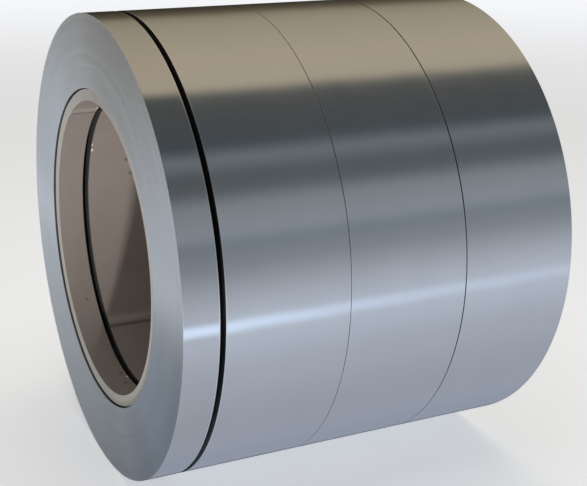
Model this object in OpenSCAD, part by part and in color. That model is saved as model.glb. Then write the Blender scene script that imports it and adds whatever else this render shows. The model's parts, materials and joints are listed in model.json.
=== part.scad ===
// Slit steel coils on fibre cores, lying side by side on one axis: one narrow coil and a row of
// equal wide ones. The axis runs along X and the narrow coil is at the -X end. The coils lie on
// Z = 0, and the origin is under the middle of the row.

/* [Steel coils] */
// Outer diameter of the wound steel
coil_d = 800; // [700:10:1400]
// Width of the narrow coil
narrow_w = 58; // [40:1:200]
// Width of each wide coil
wide_w = 207; // [60:1:400]
// Number of wide coils
wide_count = 3; // [1:1:6]
// Bevel on the corners of the wound steel
edge_bevel = 0.5; // [0.2:0.1:2]

/* [Spacing] */
// Open gap between the narrow coil and the first wide one
open_gap = 9; // [6:0.5:30]
// Seam between wide coils that lie edge to edge
seam = 0.8; // [0.3:0.1:2]

/* [Fibre cores] */
// Bore of the cores, which takes a 20 inch mandrel
core_bore_d = 508; // [400:2:600]
// Wall of the cores
core_wall = 20; // [8:1:40]
// Radial clearance between a core and the first turn of its coil
core_clearance = 0.3; // [0.1:0.1:0.9]
// How far the narrow core lies behind the -X face of its coil
narrow_core_recess = 4; // [1:0.5:12]
// How far the narrow core stops short of the +X face of its coil
narrow_core_back = 6; // [1:0.5:12]
// How far each wide core sits towards -X of its coil
wide_core_shift = 5; // [0:0.5:5.5]
// Bevel on the inner and outer edges of the cores
core_bevel = 1; // [0.5:0.5:3]

/* [Hidden] */
$fn = 360;
coil_r = coil_d / 2;
core_bore_r = core_bore_d / 2;
core_r = core_bore_r + core_wall;
steel_bore_r = core_r + core_clearance;
wide_pitch = wide_w + seam;
row_l = narrow_w + open_gap + wide_count * wide_pitch - seam;
narrow_x = -row_l / 2;
wide_x = narrow_x + narrow_w + open_gap;
narrow_core_w = narrow_w - narrow_core_recess - narrow_core_back;
function wide_names(stem) = [for (i = [1 : wide_count]) str(stem, i)];

// A tube along X that starts at x, with bevelled edges, lying on Z = 0 as part of the row
module tube(x, width, outer_r, inner_r, bevel) {
    translate([x, 0, coil_r])
        rotate([0, 90, 0])
            rotate_extrude()
                polygon([
                    [inner_r + bevel, 0],
                    [outer_r - bevel, 0],
                    [outer_r, bevel],
                    [outer_r, width - bevel],
                    [outer_r - bevel, width],
                    [inner_r + bevel, width],
                    [inner_r, width - bevel],
                    [inner_r, bevel]
                ]);
}

// One wound strip, as a solid pack of turns
module slit_coil(x, width) {
    color("lightsteelblue") tube(x, width, coil_r, steel_bore_r, edge_bevel);
}

// One fibre core
module fibre_core(x, width) {
    color("tan") tube(x, width, core_r, core_bore_r, core_bevel);
}

module narrow_coil() {
    slit_coil(narrow_x, narrow_w);
}

module wide_coil(i) {
    slit_coil(wide_x + i * wide_pitch, wide_w);
}

module narrow_core() {
    fibre_core(narrow_x + narrow_core_recess, narrow_core_w);
}

module wide_core(i) {
    fibre_core(wide_x + i * wide_pitch - wide_core_shift, wide_w);
}

narrow_coil();
for (i = [0 : wide_count - 1])
    wide_coil(i);
narrow_core();
for (i = [0 : wide_count - 1])
    wide_core(i);
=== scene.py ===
import json
import math
import random

import bpy
import numpy as np
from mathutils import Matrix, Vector


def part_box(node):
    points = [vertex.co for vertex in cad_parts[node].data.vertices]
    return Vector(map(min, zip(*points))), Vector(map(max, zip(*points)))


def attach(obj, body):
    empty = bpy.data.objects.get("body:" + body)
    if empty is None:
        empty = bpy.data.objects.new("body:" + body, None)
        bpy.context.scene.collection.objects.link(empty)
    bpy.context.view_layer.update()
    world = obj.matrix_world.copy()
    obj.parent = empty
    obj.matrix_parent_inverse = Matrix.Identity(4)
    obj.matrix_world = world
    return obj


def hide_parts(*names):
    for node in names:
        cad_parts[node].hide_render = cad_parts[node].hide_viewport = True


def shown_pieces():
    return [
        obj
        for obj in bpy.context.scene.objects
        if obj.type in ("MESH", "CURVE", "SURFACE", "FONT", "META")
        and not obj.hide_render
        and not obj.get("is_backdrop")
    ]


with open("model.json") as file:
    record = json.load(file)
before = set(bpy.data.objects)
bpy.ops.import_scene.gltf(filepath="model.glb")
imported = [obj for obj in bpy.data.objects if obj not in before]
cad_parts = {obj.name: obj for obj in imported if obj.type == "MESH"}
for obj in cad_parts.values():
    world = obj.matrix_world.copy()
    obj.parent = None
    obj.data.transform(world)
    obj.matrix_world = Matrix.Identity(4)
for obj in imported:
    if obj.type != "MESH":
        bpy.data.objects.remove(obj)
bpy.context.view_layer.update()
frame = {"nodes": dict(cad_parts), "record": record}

# ---------------------------------------------------------------- sizes, from the frame, in metres

MOUNTS = {m["name"]: m for m in frame["record"]["mounts"]}
AXIS_Z = MOUNTS["core_bore"]["pos_m"][2]
BORE_R = MOUNTS["core_bore"]["dims"]["r_mm"] / 1000
COILS = sorted(n for n in frame["nodes"] if "coil" in n)
CORES = sorted(n for n in frame["nodes"] if "core" in n)
COIL_R = (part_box(COILS[0])[1].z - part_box(COILS[0])[0].z) / 2
CORE_R = (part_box(CORES[0])[1].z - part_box(CORES[0])[0].z) / 2
CORE_CLEARANCE = 0.0003
STEEL_BORE_R = CORE_R + CORE_CLEARANCE
NARROW_FACE_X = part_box("narrow_coil")[0].x

# Winding: one spiral from the bore outwards. Angles about the axis run from +Y up through +Z.
STEEL_TURNS = 96
CORE_PLIES = 20
SEGMENTS = 160
COIL_END_ANGLE = math.radians(300)
PLY_END_ANGLE = {"narrow_core": math.radians(55), "wide_core_1": math.radians(-54)}
# An end face's relief, one turn at a time: (place within the turn, depth behind the face)
STRIP_EDGE = [(0.0, 0.00012), (0.09, 0.0), (0.91, 0.0)]
PLY_EDGE = [(0.0, 0.00025), (0.25, 0.00004), (0.7, 0.0)]
# Ends that are hidden but for the rim: a second ring a turn makes it narrow. With only one, it slopes
# over the whole outermost turn and shows as a dark line.
FLAT = [(0.0, 0.0), (0.91, 0.0)]
BLUNT = [(0.0, 0.0)]
# How far the rounded outer and inner corners reach along the axis, at the narrow and the wide end
STRIP_LIPS = {
    "narrow_coil": (0.0006, 0.0018),
    "wide_coil_1": (0.0018, 0.0005),
    "wide_coil_2": (0.0005, 0.0007),
    "wide_coil_3": (0.0011, 0.0006),
}
PLY_LIPS = (0.0008, 0.0008)
# Turns stand back from the end face by chance, each by up to a wander, and in bands of several turns
TURN_WANDER = 0.00008
PLY_WANDER = 0.00015
BAND_WANDER = 0.00025
BAND_TURNS = 9
# A piece of fewer turns than this has shallower bands
FULL_BAND_TURNS = 36
# Any corner sharper than this shows as an edge. It is between the barrel's facets and the widest rim's slope.
EDGE_ANGLE = math.radians(3.2)

# Material slots of a wound piece
OUTSIDE, NARROW_SIDE, WIDE_SIDE, BORE, RIM = range(5)


# ---------------------------------------------------------------- wound meshes

def by_chance(rng, reach, places):
    """Random depths up to `reach` at 0, 1, 2 and so on, and straight lines between them."""
    depths = [rng.uniform(0, reach) for _ in range(places)]
    return lambda at: np.interp(at, np.arange(places), depths)


def ring_table(profile, turns, pitch, inner_r, start_angle, lip, wander, rng):
    """Vertices of one end: rings from the bore outwards, then the strip's own end.

    Returns (radius, depth, angle) arrays. Ring i at a full turn is ring i + len(profile) at its
    start, so that the rings join into one spiral.
    """
    steps = len(profile)
    rings = (turns - 1) * steps + 1
    ring = np.concatenate([np.repeat(np.arange(rings), SEGMENTS), np.arange(rings, rings + steps)])
    segment = np.concatenate([np.tile(np.arange(SEGMENTS), rings), np.zeros(steps, int)])
    place, depth = np.array(profile)[ring % steps].T
    winding = ring // steps + place + segment / SEGMENTS
    depth = depth + by_chance(rng, wander, turns + 2)(winding)
    share = BAND_WANDER * min(1.0, turns / FULL_BAND_TURNS)
    depth = depth + share * by_chance(rng, 1, turns // BAND_TURNS + 3)(winding / BAND_TURNS)
    on_edge = (ring == 0) | (ring == rings - 1) | (ring == rings + steps - 1)
    depth[on_edge] = lip
    angle = start_angle + 2 * math.pi * segment / SEGMENTS
    return inner_r + winding * pitch, depth, angle


def spiral_index(ring, segment, rings, steps):
    """Index of a vertex of ring_table, where a whole turn leads on to the next turn's ring."""
    ring = np.where(segment == SEGMENTS, ring + steps, ring)
    segment = np.where(segment == SEGMENTS, 0, segment)
    return np.where(ring < rings, ring * SEGMENTS + segment, rings * SEGMENTS + ring - rings)


def end_faces(rings, steps):
    """The quads of one end face. The last SEGMENTS of them are its outermost ring."""
    ring, segment = np.meshgrid(np.arange(rings - 1), np.arange(SEGMENTS), indexing="ij")
    corners = [(0, 0), (0, 1), (1, 1), (1, 0)]
    return np.stack(
        [spiral_index(ring + i, segment + s, rings, steps).ravel() for i, s in corners], axis=1
    )


def end_edges(start, rings, steps):
    """Vertex indices where an end face meets the bore, the outside and the strip's two cut ends."""
    around = np.arange(SEGMENTS + 1)
    across = np.zeros(steps + 1, int)
    lines = {
        "bore": (np.zeros_like(around), around),
        "outside": (np.full_like(around, rings - 1), around),
        "head": (np.arange(steps + 1), across),
        "tail": (np.arange(rings - 1, rings + steps), across),
    }
    return {key: start + spiral_index(*line, rings, steps) for key, line in lines.items()}


def wound(name, node, inner_r, outer_r, turns, start_angle, ends, lips, wander, seed):
    """A strip wound in one spiral: end faces with its turns, bore, outside, and both cut ends."""
    rng = random.Random(seed)
    low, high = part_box(node)
    pitch = (outer_r - inner_r) / turns
    points, faces, slots, edges = [], [], [], []
    start = 0
    sides = ((low.x, 1, NARROW_SIDE), (high.x, -1, WIDE_SIDE))
    for (x, inward, slot), profile, lip in zip(sides, ends, lips):
        steps = len(profile)
        rings = (turns - 1) * steps + 1
        radius, depth, angle = ring_table(profile, turns, pitch, inner_r, start_angle, lip, wander, rng)
        y, z = radius * np.cos(angle), AXIS_Z + radius * np.sin(angle)
        points.append(np.stack([x + inward * depth, y, z], axis=1))
        quads = end_faces(rings, steps) + start
        faces += (quads if inward == 1 else quads[:, ::-1]).tolist()
        rim = slot if profile in (PLY_EDGE, BLUNT) else RIM
        slots += [slot] * (len(quads) - SEGMENTS) + [rim] * SEGMENTS
        edges.append(end_edges(start, rings, steps))
        start += len(radius)
    near, far = edges
    for key, turned, slot in (("bore", True, BORE), ("outside", False, OUTSIDE)):
        a, b = near[key], far[key]
        sheet = np.stack([a[:-1], a[1:], b[1:], b[:-1]], axis=1)
        faces += (sheet[:, ::-1] if turned else sheet).tolist()
        slots += [slot] * len(sheet)
    faces.append(np.concatenate([near["head"], far["head"][::-1]]).tolist())
    faces.append(np.concatenate([near["tail"], far["tail"][::-1]])[::-1].tolist())
    slots += [NARROW_SIDE, NARROW_SIDE]
    return smooth_piece(name, np.concatenate(points).tolist(), faces, slots)


def smooth_piece(name, points, faces, slots):
    mesh = bpy.data.meshes.new(name)
    mesh.from_pydata(points, [], faces)
    mesh.polygons.foreach_set("material_index", slots)
    mesh.polygons.foreach_set("use_smooth", [True] * len(faces))
    mesh.set_sharp_from_angle(angle=EDGE_ANGLE)
    mesh.update()
    return placed(name, mesh)


def placed(name, data):
    """An object of this data, in the scene."""
    thing = bpy.data.objects.new(name, data)
    bpy.context.scene.collection.objects.link(thing)
    return thing


# ---------------------------------------------------------------- materials

# Pairs of tones: (light, dark)
WRAP_TONES = ((0.635, 0.64, 0.655, 1), (0.555, 0.565, 0.585, 1))
NARROW_WRAP_TONES = ((0.60, 0.60, 0.61, 1), (0.52, 0.525, 0.54, 1))
EDGE_TONES = ((0.66, 0.68, 0.685, 1), (0.46, 0.48, 0.48, 1))
# Painted highlight: the rounded rims of the coils' ends are lighter than the rolled steel, for bright lines
# along the gaps
RIM_HIGHLIGHT_TONES = ((0.84, 0.82, 0.79, 1), (0.74, 0.72, 0.70, 1))
# Painted shade: the ends that face another coil are dark for the shade in the narrow gaps between coils
SHADED_EDGE_TONES = ((0.25, 0.265, 0.265, 1), (0.17, 0.18, 0.18, 1))
# Painted shade: the bare steel of the bore is dark for the shade in the recesses where it shows
BORE_SHADE_TONES = (SHADED_EDGE_TONES[0], (0.15, 0.16, 0.15, 1))
BOARD_TONES = ((0.29, 0.25, 0.225, 1), (0.225, 0.19, 0.165, 1))
CUT_TONES = ((0.43, 0.415, 0.39, 1), (0.34, 0.325, 0.305, 1))
# Painted shade: the cores' ends that face another core are dark for the shade in the gaps between cores
SHADED_CUT_TONES = ((0.06, 0.056, 0.05, 1), (0.035, 0.032, 0.03, 1))

# Roughness, from the smoothest to the roughest spots, and anisotropy
WRAP_ROUGHNESS = (0.13, 0.21)
NARROW_WRAP_ROUGHNESS = (0.10, 0.16)
RIM_ROUGHNESS = (0.28, 0.38)
EDGE_ROUGHNESS = (0.35, 0.43)
BORE_WRAP_ROUGHNESS = (0.26, 0.36)
BOARD_ROUGHNESS = 0.85
WRAP_ANISOTROPY = 0.85
EDGE_ANISOTROPY = 0.6
BORE_WRAP_ANISOTROPY = 0.7
# A quarter turn of the radial tangent, so that highlights spread across the grain
GRAIN_TURN = 0.25

# Patterns: (waves a metre around the axis, waves a metre along the axis or outwards)
GRAIN = (9.0, 900.0)
CLOUDS = (5.0, 12.0)
WAVES = (3.0, 5.0)
EDGE_RINGS = (2.0, 420.0)
EDGE_BANDS = (1.0, 45.0)
BORE_MOTTLE = (12.0, 300.0)
FIBRES = (40.0, 700.0)
MOTTLE_SCALE = 22.0
SPECK_SCALE = 38.0
SPECK_SIZE = (0.03, 0.07)
SPECK_STRENGTH = 0.3
# What the fine pattern counts for in a tone. The coarse one has the rest.
GRAIN_SHARE = 0.35
EDGE_RING_SHARE = 0.5
FIBRE_SHARE = 0.4

# Relief that is too fine for the mesh: (strength, height in metres)
GRAIN_RELIEF = (0.02, 0.0001)
WAVE_RELIEF = (1.0, 0.0015)
EDGE_RELIEF = (0.08, 0.0003)
BOARD_RELIEF = (0.35, 0.0006)

# The dark of real stains and specks, also used for the painted shadow line at the ply's end
STAIN_AND_SHADE_COLOUR = (0.06, 0.055, 0.04, 1)
STAIN_STRENGTH = 0.6
TORN_COLOUR = (0.85, 0.83, 0.78, 1)
TORN_STRENGTH = 0.9
# Painted shade and painted light at the innermost ply's end: a shadow line under the lifted lap, and a
# lighter band on the lap
PLY_SHADE_ANGLE = math.radians(0.8)
PLY_SHADE_STRENGTH = 0.75
PLY_LIGHT_ANGLE = math.radians(2.6)
PLY_LIGHT_STRENGTH = 0.45
PLY_CURL_DEPTH = 0.009
PLY_CURL_ANGLE = math.radians(10)
# Marks in the bore: (depth from the narrow end, degrees about the axis, radius)
STAINS = {
    "narrow_core": [(0.034, -40, 0.003), (0.051, -71, 0.005), (0.043, -83, 0.005), (0.039, -92, 0.006)],
    "wide_core_1": [(0.080, 49, 0.003), (0.135, 21, 0.005), (0.147, 14, 0.006)],
}
TORN_SPOTS = {
    "narrow_core": [(0.0505, 59, 0.0035), (0.0505, -87, 0.004)],
    "wide_core_1": [(0.064, 28, 0.004), (0.063, 31, 0.003)],
}


def add(tree, kind, inputs=None, **settings):
    """Adds a node. An input given as a socket is linked, and any other is set."""
    node = tree.nodes.new(kind)
    for key, value in settings.items():
        setattr(node, key, value)
    for key, value in (inputs or {}).items():
        if isinstance(value, bpy.types.NodeSocket):
            tree.links.new(value, node.inputs[key])
        else:
            node.inputs[key].default_value = value
    return node


def new_tree(data):
    data.use_nodes = True
    data.node_tree.nodes.clear()
    return data.node_tree


def new_material(name):
    material = bpy.data.materials.new(name)
    tree = new_tree(material)
    shader = add(tree, "ShaderNodeBsdfPrincipled")
    add(tree, "ShaderNodeOutputMaterial", {"Surface": shader.outputs["BSDF"]})
    return material, tree, shader


def math_node(tree, operation, a, b=0.0):
    return add(tree, "ShaderNodeMath", {0: a, 1: b}, operation=operation).outputs[0]


def vector_node(tree, operation, a, b=(0, 0, 0)):
    return add(tree, "ShaderNodeVectorMath", {0: a, 1: b}, operation=operation)


def remapped(tree, value, from_range, to_range, **settings):
    """Maps one range onto another, and stops at its ends."""
    inputs = {"Value": value, "From Min": from_range[0], "From Max": from_range[1]}
    inputs.update({"To Min": to_range[0], "To Max": to_range[1]})
    return add(tree, "ShaderNodeMapRange", inputs, **settings).outputs["Result"]


def mixed(tree, share, a, b):
    """Colour a where share is 0, and b where it is 1."""
    return add(tree, "ShaderNodeMix", {"Factor": share, "A": a, "B": b}, data_type="RGBA").outputs["Result"]


def in_tones(tree, tone, tones):
    light, dark = tones
    return mixed(tree, tone, dark, light)


def weighed(tree, fine, coarse, fine_share):
    """The sum of two patterns, each at its share."""
    return math_node(
        tree,
        "ADD",
        math_node(tree, "MULTIPLY", fine, fine_share),
        math_node(tree, "MULTIPLY", coarse, 1 - fine_share),
    )


def object_place(tree):
    return add(tree, "ShaderNodeTexCoord").outputs["Object"]


def axis_coordinates(tree):
    """(X, Y, height above the axis, radius, angle in radians) of the point being shaded."""
    split = add(tree, "ShaderNodeSeparateXYZ", {0: object_place(tree)})
    x, y = split.outputs["X"], split.outputs["Y"]
    height = math_node(tree, "SUBTRACT", split.outputs["Z"], AXIS_Z)
    squares = math_node(
        tree, "ADD", math_node(tree, "MULTIPLY", y, y), math_node(tree, "MULTIPLY", height, height)
    )
    return x, y, height, math_node(tree, "SQRT", squares), math_node(tree, "ARCTAN2", height, y)


def stretched_noise(tree, across, pattern, y, height, detail=3.0):
    """Noise that varies along `across` and only slowly around the axis, as rolling grain does."""
    around, per_metre = pattern
    vector = add(
        tree,
        "ShaderNodeCombineXYZ",
        {
            "X": math_node(tree, "MULTIPLY", across, per_metre),
            "Y": math_node(tree, "MULTIPLY", y, around),
            "Z": math_node(tree, "MULTIPLY", height, around),
        },
    ).outputs[0]
    noise = add(tree, "ShaderNodeTexNoise", {"Vector": vector, "Scale": 1.0, "Detail": detail})
    return noise.outputs["Fac"]


def relief(tree, pattern, strength_and_height, **below):
    """The normal over a pattern's relief, on top of a normal given as Normal."""
    strength, height = strength_and_height
    inputs = {"Height": pattern, "Strength": strength, "Distance": height, **below}
    return add(tree, "ShaderNodeBump", inputs).outputs[0]


def finish_shader(tree, shader, colour, normal=None):
    tree.links.new(colour, shader.inputs["Base Color"])
    if normal:
        tree.links.new(normal, shader.inputs["Normal"])


def make_steel(tree, shader, pattern, roughness, anisotropy):
    """Bare metal, with highlights spread across the grain and rougher spots where pattern is high."""
    tangent = add(tree, "ShaderNodeTangent", direction_type="RADIAL", axis="X")
    tree.links.new(tangent.outputs[0], shader.inputs["Tangent"])
    tree.links.new(remapped(tree, pattern, (0, 1), roughness), shader.inputs["Roughness"])
    shader.inputs["Metallic"].default_value = 1.0
    shader.inputs["Anisotropic"].default_value = anisotropy
    shader.inputs["Anisotropic Rotation"].default_value = GRAIN_TURN


def rolled_steel(name, tones, roughness):
    """The strip's bright rolled surface: grain runs around the coil, and the strip isn't quite flat."""
    material, tree, shader = new_material(name)
    x, y, height, _, _ = axis_coordinates(tree)
    grain = stretched_noise(tree, x, GRAIN, y, height)
    clouds = stretched_noise(tree, x, CLOUDS, y, height)
    waves = stretched_noise(tree, x, WAVES, y, height, detail=2.0)
    colour = in_tones(tree, weighed(tree, grain, clouds, GRAIN_SHARE), tones)
    normal = relief(tree, grain, GRAIN_RELIEF, Normal=relief(tree, waves, WAVE_RELIEF))
    finish_shader(tree, shader, colour, normal)
    make_steel(tree, shader, clouds, roughness, WRAP_ANISOTROPY)
    return material


def strip_edges(name, tones):
    """The strip's slit edges, stacked turn on turn: fine rings about the axis."""
    material, tree, shader = new_material(name)
    _, y, height, radius, _ = axis_coordinates(tree)
    rings = stretched_noise(tree, radius, EDGE_RINGS, y, height, detail=4.0)
    bands = stretched_noise(tree, radius, EDGE_BANDS, y, height)
    colour = in_tones(tree, weighed(tree, rings, bands, EDGE_RING_SHARE), tones)
    finish_shader(tree, shader, colour, relief(tree, rings, EDGE_RELIEF))
    make_steel(tree, shader, bands, EDGE_ROUGHNESS, EDGE_ANISOTROPY)
    return material


def bore_wrap():
    """The innermost turn of steel, dull, where the core leaves it bare; its dark tones are painted shade for
    the recesses where it shows.
    """
    material, tree, shader = new_material("bore_wrap")
    x, y, height, _, _ = axis_coordinates(tree)
    bore_mottle = stretched_noise(tree, x, BORE_MOTTLE, y, height)
    finish_shader(tree, shader, in_tones(tree, bore_mottle, BORE_SHADE_TONES))
    make_steel(tree, shader, bore_mottle, BORE_WRAP_ROUGHNESS, BORE_WRAP_ANISOTROPY)
    return material


def patch_mask(tree, place, centre, size):
    """1 up to halfway out of a ball of radius `size` about `centre`, fading to 0 at its surface."""
    offset = vector_node(tree, "SUBTRACT", place, centre).outputs[0]
    scaled = vector_node(tree, "DIVIDE", offset, (size, size, size)).outputs[0]
    reach = vector_node(tree, "LENGTH", scaled).outputs["Value"]
    return remapped(tree, reach, (0.5, 1), (1, 0))


def tinted(tree, colour, mask, towards, strength):
    return mixed(tree, math_node(tree, "MULTIPLY", mask, strength), colour, towards)


def band_mask(tree, value, middle, half_width):
    """1 where value is middle, fading to 0 at half_width either side."""
    off = math_node(tree, "ABSOLUTE", math_node(tree, "SUBTRACT", value, middle))
    return remapped(tree, off, (0, half_width), (1, 0))


def with_ply_end(tree, colour, ply_end, x, angle):
    """The end of the innermost ply: a painted shadow line under a lap lit with painted light, curling down at
    the mouth.
    """
    depth = math_node(tree, "SUBTRACT", x, NARROW_FACE_X)
    curl = remapped(tree, depth, (0, PLY_CURL_DEPTH), (PLY_CURL_ANGLE, 0))
    below = math_node(tree, "SUBTRACT", math_node(tree, "SUBTRACT", ply_end, curl), angle)
    lap = band_mask(tree, below, -PLY_LIGHT_ANGLE, PLY_LIGHT_ANGLE)
    colour = tinted(tree, colour, lap, CUT_TONES[0], PLY_LIGHT_STRENGTH)
    line = band_mask(tree, below, PLY_SHADE_ANGLE, PLY_SHADE_ANGLE)
    return tinted(tree, colour, line, STAIN_AND_SHADE_COLOUR, PLY_SHADE_STRENGTH)


def with_marks(tree, colour, place, marks, towards, strength):
    for depth, degrees, size in marks:
        turn = math.radians(degrees)
        centre = (NARROW_FACE_X + depth, BORE_R * math.cos(turn), AXIS_Z + BORE_R * math.sin(turn))
        colour = tinted(tree, colour, patch_mask(tree, place, centre, size), towards, strength)
    return colour


def core_board(name, tones, node=""):
    """Wound kraft board, matt, with fibres, mottling and small dark specks, and a node's own marks."""
    material, tree, shader = new_material(name)
    x, y, height, _, angle = axis_coordinates(tree)
    place = object_place(tree)
    mottle = add(
        tree, "ShaderNodeTexNoise", {"Vector": place, "Scale": MOTTLE_SCALE, "Detail": 5.0}
    ).outputs["Fac"]
    fibres = stretched_noise(tree, x, FIBRES, y, height, detail=5.0)
    tone = weighed(tree, fibres, mottle, FIBRE_SHARE)
    cells = add(tree, "ShaderNodeTexVoronoi", {"Vector": place, "Scale": SPECK_SCALE}, feature="F1")
    speck = remapped(tree, cells.outputs["Distance"], SPECK_SIZE, (1, 0))
    colour = tinted(tree, in_tones(tree, tone, tones), speck, STAIN_AND_SHADE_COLOUR, SPECK_STRENGTH)
    if node in PLY_END_ANGLE:
        colour = with_ply_end(tree, colour, PLY_END_ANGLE[node], x, angle)
    colour = with_marks(tree, colour, place, STAINS.get(node, ()), STAIN_AND_SHADE_COLOUR, STAIN_STRENGTH)
    colour = with_marks(tree, colour, place, TORN_SPOTS.get(node, ()), TORN_COLOUR, TORN_STRENGTH)
    finish_shader(tree, shader, colour, relief(tree, tone, BOARD_RELIEF))
    shader.inputs["Roughness"].default_value = BOARD_ROUGHNESS
    return material


# ---------------------------------------------------------------- the pieces

def end_materials(node, nodes, outer, inner):
    """The outer material on the row's two ends, and the inner one on ends that face another coil."""
    return [outer if node == nodes[0] else inner, outer if node == nodes[-1] else inner]


def make_coils():
    wrap = rolled_steel("rolled_steel", WRAP_TONES, WRAP_ROUGHNESS)
    wraps = {"narrow_coil": rolled_steel("narrow_rolled_steel", NARROW_WRAP_TONES, NARROW_WRAP_ROUGHNESS)}
    edges = strip_edges("strip_edges", EDGE_TONES)
    # Ends that face another coil: painted shade
    shaded = strip_edges("shaded_strip_edges", SHADED_EDGE_TONES)
    bore = bore_wrap()
    # Rims: rolled steel made lighter, a painted highlight on the rounded corners
    rim = rolled_steel("worn_rim", RIM_HIGHLIGHT_TONES, RIM_ROUGHNESS)
    profiles = {
        "narrow_coil": (STRIP_EDGE, STRIP_EDGE),
        "wide_coil_1": (STRIP_EDGE, FLAT),
        "wide_coil_2": (FLAT, FLAT),
        "wide_coil_3": (BLUNT, STRIP_EDGE),
    }
    for seed, node in enumerate(COILS):
        coil = wound(
            node + "_turns",
            node,
            STEEL_BORE_R,
            COIL_R,
            STEEL_TURNS,
            COIL_END_ANGLE,
            profiles[node],
            STRIP_LIPS[node],
            TURN_WANDER,
            seed,
        )
        sides = end_materials(node, COILS, edges, shaded)
        finish_piece(coil, node, [wraps.get(node, wrap), *sides, bore, rim])


def make_cores():
    cut = core_board("core_cut_board", CUT_TONES)
    # Ends that face another core: painted shade
    shaded = core_board("shaded_cut_board", SHADED_CUT_TONES)
    for seed, node in enumerate(CORES):
        core = wound(
            node + "_plies",
            node,
            BORE_R,
            CORE_R,
            CORE_PLIES,
            PLY_END_ANGLE.get(node, COIL_END_ANGLE + seed),
            (PLY_EDGE, PLY_EDGE),
            PLY_LIPS,
            PLY_WANDER,
            seed,
        )
        sides = end_materials(node, CORES, cut, shaded)
        finish_piece(core, node, [cut, *sides, core_board(node + "_board", BOARD_TONES, node)])


def finish_piece(piece, node, materials):
    for material in materials:
        piece.data.materials.append(material)
    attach(piece, "root")
    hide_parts(node)


# ---------------------------------------------------------------- camera and studio

CAMERA_PLACE = (-0.909, -1.861, 1.031)
CAMERA_YAW = math.radians(24.6)
CAMERA_PITCH = math.radians(17.7)
CAMERA_LENS = 72.35
CAMERA_SHIFT = (0.0741, -0.0051)

# The studio about the coils' axis: (degrees up from the front horizon, colour). Past 180 degrees it
# is the back wall, below its horizon.
STUDIO = [
    (-138, (0.33, 0.37, 0.46)),
    (-120, (0.385, 0.435, 0.525)),
    (-105, (0.455, 0.495, 0.585)),
    (-80, (0.50, 0.53, 0.60)),
    (-48, (0.60, 0.65, 0.74)),
    (-35, (0.70, 0.76, 0.87)),
    (-20, (0.665, 0.725, 0.82)),
    (-10, (0.54, 0.585, 0.65)),
    (2, (0.35, 0.38, 0.43)),
    (12, (0.27, 0.31, 0.36)),
    (18, (0.37, 0.41, 0.45)),
    (30, (0.32, 0.35, 0.37)),
    (38, (0.15, 0.165, 0.175)),
    (45, (0.13, 0.15, 0.16)),
    (53, (0.235, 0.262, 0.28)),
    (60, (0.09, 0.105, 0.115)),
    (78, (0.105, 0.11, 0.11)),
    (87, (0.115, 0.125, 0.12)),
    (92, (0.60, 0.52, 0.39)),
    (110, (0.60, 0.51, 0.375)),
    (140, (0.46, 0.41, 0.30)),
    (152, (0.35, 0.31, 0.22)),
    (160, (0.125, 0.10, 0.065)),
    (173, (0.045, 0.035, 0.025)),
    (205, (0.10, 0.105, 0.11)),
]
BACK_SEAM = -140
# The studio by the narrow end: (degrees above the horizon, share of END_SIDE_GLOW)
END_SIDE_GLOW = 2.3
END_SIDE = [
    (-62, (0.30, 0.38, 0.46)),
    (-45, (0.13, 0.17, 0.22)),
    (-33, (0.01, 0.01, 0.02)),
    (-26, (0.01, 0.01, 0.02)),
    (-20, (0.40, 0.43, 0.46)),
    (-15, (0.52, 0.56, 0.66)),
    (-9, (0.32, 0.295, 0.245)),
    (-3, (0.03, 0.03, 0.03)),
    (45, (0.04, 0.04, 0.04)),
]
# The part of the sky, by the X of its direction, over which one gives way to the other
END_SIDE_REACH = (-0.05, -0.2)

FLOOR_COLOUR = (0.80, 0.81, 0.83, 1)
FLOOR_ROUGHNESS = 0.9
FLOOR_GLOW = (0.44, 0.445, 0.455, 1)
FLOOR_REACH = 28.0
# The floor fades into the backdrop between these distances, so that no horizon shows
FLOOR_FADE = (1.5, 8.0)
BACKDROP_COLOUR = (0.92, 0.93, 0.95, 1)
BACKDROP_RADIUS = 30

# A light tube low in front, seen only as the thin streak it makes on the barrel: (Y, Z) of its line
TUBE_LINE = (-1.08, 0.05)
TUBE_REACH = (-1.6, 1.4)
TUBE_WIDTH = 0.11
# What shows in the tube's place, as a share of TUBE_STRENGTH: the studio behind it and its own light
TUBE_STRENGTH = 1.73
TUBE_SURROUND = (0.42, 0.46, 0.52, 1)
# Along X, in metres
TUBE_GLOW_REACH = (-2, 2)
TUBE_GLOW = [
    (-1.5, (0.68, 0.80, 0.98)),
    (0.0, (0.68, 0.80, 0.98)),
    (0.17, (0.60, 0.70, 0.85)),
    (0.33, (0.54, 0.62, 0.75)),
    (0.55, (0.50, 0.565, 0.67)),
    (1.3, (0.455, 0.505, 0.60)),
]

LOW_LIGHT_FROM = (-0.29, -0.90, -0.32)
LOW_LIGHT_POWER = 1.7
LOW_LIGHT_COLOUR = (1.0, 0.975, 0.95)
LOW_LIGHT_SPREAD = math.radians(3)
# Area lights: (place, target, size, power in watts, colour)
OVERHEAD = ((0.0, 0.0, 3.0), (0.0, 0.0, 0.0), (3.0, 3.0), 35.0, (1.0, 1.0, 1.0))
END_FILL = ((-2.8, -0.5, 0.9), (-0.3, 0.0, 0.4), (1.2, 1.2), 19.0, (1.0, 0.98, 0.96))


def make_camera():
    data = bpy.data.cameras.new("camera")
    camera = placed("camera", data)
    camera.location = CAMERA_PLACE
    camera.rotation_euler = (math.pi / 2 - CAMERA_PITCH, 0, -CAMERA_YAW)
    data.lens = CAMERA_LENS
    data.sensor_fit = "HORIZONTAL"
    data.shift_x, data.shift_y = CAMERA_SHIFT
    bpy.context.scene.camera = camera


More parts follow.
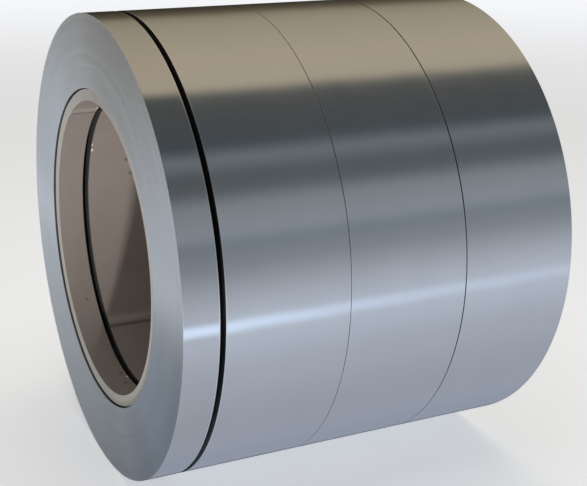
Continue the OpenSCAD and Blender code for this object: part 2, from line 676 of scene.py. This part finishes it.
def colour_ramp(tree, value, first, last, stops):
    """A colour for a value from first to last, from (value, colour) stops."""
    ramp = add(tree, "ShaderNodeValToRGB", {"Fac": remapped(tree, value, (first, last), (0, 1))})
    elements = ramp.color_ramp.elements
    for at, colour in stops:
        elements.new((at - first) / (last - first)).color = (*colour, 1)
    elements.remove(elements[0])
    elements.remove(elements[-1])
    return ramp.outputs["Color"]


def studio_world():
    """Pale front, dark ceiling and warm back wall about the axis, and its own bands by the narrow end."""
    world = bpy.data.worlds.new("studio")
    bpy.context.scene.world = world
    tree = new_tree(world)
    split = add(tree, "ShaderNodeSeparateXYZ", {0: add(tree, "ShaderNodeTexCoord").outputs["Generated"]})
    ahead = math_node(tree, "MULTIPLY", split.outputs["Y"], -1.0)
    angle = math_node(tree, "DEGREES", math_node(tree, "ARCTAN2", split.outputs["Z"], ahead))
    turn = (BACK_SEAM, BACK_SEAM + 360)
    wrapped = add(tree, "ShaderNodeMath", {0: angle, 1: turn[1], 2: turn[0]}, operation="WRAP").outputs[0]
    about_axis = colour_ramp(tree, wrapped, *turn, STUDIO)
    elevation = math_node(tree, "DEGREES", math_node(tree, "ARCSINE", split.outputs["Z"]))
    end_side = add(
        tree,
        "ShaderNodeVectorMath",
        {"Vector": colour_ramp(tree, elevation, -90, 90, END_SIDE), "Scale": END_SIDE_GLOW},
        operation="SCALE",
    ).outputs["Vector"]
    towards_end = remapped(tree, split.outputs["X"], END_SIDE_REACH, (0, 1))
    whole = mixed(tree, towards_end, about_axis, end_side)
    background = add(tree, "ShaderNodeBackground", {"Color": whole, "Strength": 1.0})
    add(tree, "ShaderNodeOutputWorld", {"Surface": background.outputs[0]})


def glowing(name, colour):
    material = bpy.data.materials.new(name)
    tree = new_tree(material)
    glow = add(tree, "ShaderNodeEmission", {"Color": colour})
    add(tree, "ShaderNodeOutputMaterial", {"Surface": glow.outputs[0]})
    return material, tree, glow


def floor_material():
    """Pale and matt near the coil, fading into the backdrop with distance."""
    material, tree, glow = glowing("pale_floor", BACKDROP_COLOUR)
    shader = add(
        tree,
        "ShaderNodeBsdfPrincipled",
        {
            "Base Color": FLOOR_COLOUR,
            "Roughness": FLOOR_ROUGHNESS,
            "Emission Color": FLOOR_GLOW,
            "Emission Strength": 1.0,
        },
    )
    distance = vector_node(tree, "LENGTH", object_place(tree)).outputs["Value"]
    fade = remapped(tree, distance, FLOOR_FADE, (0, 1), interpolation_type="SMOOTHSTEP")
    whole = add(tree, "ShaderNodeMixShader", {0: fade, 1: shader.outputs["BSDF"], 2: glow.outputs[0]})
    output = next(node for node in tree.nodes if node.bl_idname == "ShaderNodeOutputMaterial")
    tree.links.new(whole.outputs[0], output.inputs["Surface"])
    return material


def card(name, corners, material):
    mesh = bpy.data.meshes.new(name)
    mesh.from_pydata(corners, [], [(0, 1, 2, 3)])
    mesh.materials.append(material)
    return placed(name, mesh)


def make_floor():
    corners = [(x * FLOOR_REACH, y * FLOOR_REACH, 0) for x, y in ((-1, -1), (1, -1), (1, 1), (-1, 1))]
    floor = card("floor", corners, floor_material())
    floor.visible_glossy = False
    floor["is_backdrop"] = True


def make_backdrop():
    """A pale shell that only the camera sees, so that every view has the same plain background."""
    bpy.ops.mesh.primitive_uv_sphere_add(radius=BACKDROP_RADIUS, segments=48, ring_count=24)
    shell = bpy.context.object
    shell.name = "backdrop"
    shell.data.materials.append(glowing("pale_backdrop", BACKDROP_COLOUR)[0])
    shell.visible_diffuse = False
    shell.visible_glossy = False
    shell.visible_transmission = False
    shell.visible_volume_scatter = False
    shell.visible_shadow = False
    shell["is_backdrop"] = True


def make_tube():
    """A strip that glows most along its middle and fades to the studio's own colour at its edges."""
    aim = (Vector((0, -COIL_R, AXIS_Z)) - Vector((0, *TUBE_LINE))).normalized()
    across = Vector((0, -aim.z, aim.y)) * TUBE_WIDTH / 2
    material, tree, glow = glowing("tube_glow", TUBE_SURROUND)
    glow.inputs["Strength"].default_value = TUBE_STRENGTH
    split = add(tree, "ShaderNodeSeparateXYZ", {0: object_place(tree)})
    above = math_node(tree, "SUBTRACT", split.outputs["Z"], TUBE_LINE[1])
    rise = math_node(tree, "DIVIDE", above, abs(across.z))
    inside = math_node(tree, "SUBTRACT", 1.0, math_node(tree, "MULTIPLY", rise, rise))
    along = colour_ramp(tree, split.outputs["X"], *TUBE_GLOW_REACH, TUBE_GLOW)
    tree.links.new(tinted(tree, TUBE_SURROUND, inside, along, 1.0), glow.inputs["Color"])
    ends_and_sides = ((0, -1), (1, -1), (1, 1), (0, 1))
    corners = [Vector((TUBE_REACH[end], *TUBE_LINE)) + across * side for end, side in ends_and_sides]
    tube = card("tube", corners, material)
    tube.visible_camera = False
    tube.visible_diffuse = False
    tube.visible_shadow = False
    tube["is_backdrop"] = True


def linked(name, word=""):
    """A collection of the pieces with `word` in their names."""
    collection = bpy.data.collections.new(name)
    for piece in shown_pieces():
        if word in piece.name:
            collection.objects.link(piece)
    return collection


def make_low_light():
    """Light off a bright floor, low in front. It passes the floor and lights only the cores.

    Every piece shades it.
    """
    data = bpy.data.lights.new("low_light", "SUN")
    data.energy = LOW_LIGHT_POWER
    data.angle = LOW_LIGHT_SPREAD
    data.color = LOW_LIGHT_COLOUR
    light = placed("low_light", data)
    light.rotation_euler = Vector(LOW_LIGHT_FROM).to_track_quat("Z", "Y").to_euler()
    light.light_linking.receiver_collection = linked("low_light_meets", "core")
    light.light_linking.blocker_collection = linked("low_light_is_shaded_by")


def area_light(name, place, target, size, power, colour):
    """A soft light that neither the camera nor a reflection shows."""
    data = bpy.data.lights.new(name, "AREA")
    data.shape = "RECTANGLE"
    data.size, data.size_y = size
    data.energy = power
    data.color = colour
    light = placed(name, data)
    light.location = place
    away = Vector(place) - Vector(target)
    light.rotation_euler = away.to_track_quat("Z", "Y").to_euler()
    light.visible_camera = False
    light.visible_glossy = False
    return light


def make_lights():
    make_low_light()
    make_tube()
    area_light("overhead", *OVERHEAD)
    fill = area_light("end_fill", *END_FILL)
    # It would burn out the floor below it, so it lights only the pieces
    fill.light_linking.receiver_collection = linked("end_fill_meets")


make_camera()
make_coils()
make_cores()
studio_world()
make_floor()
make_backdrop()
make_lights()
bpy.context.scene.view_settings.view_transform = "Standard"
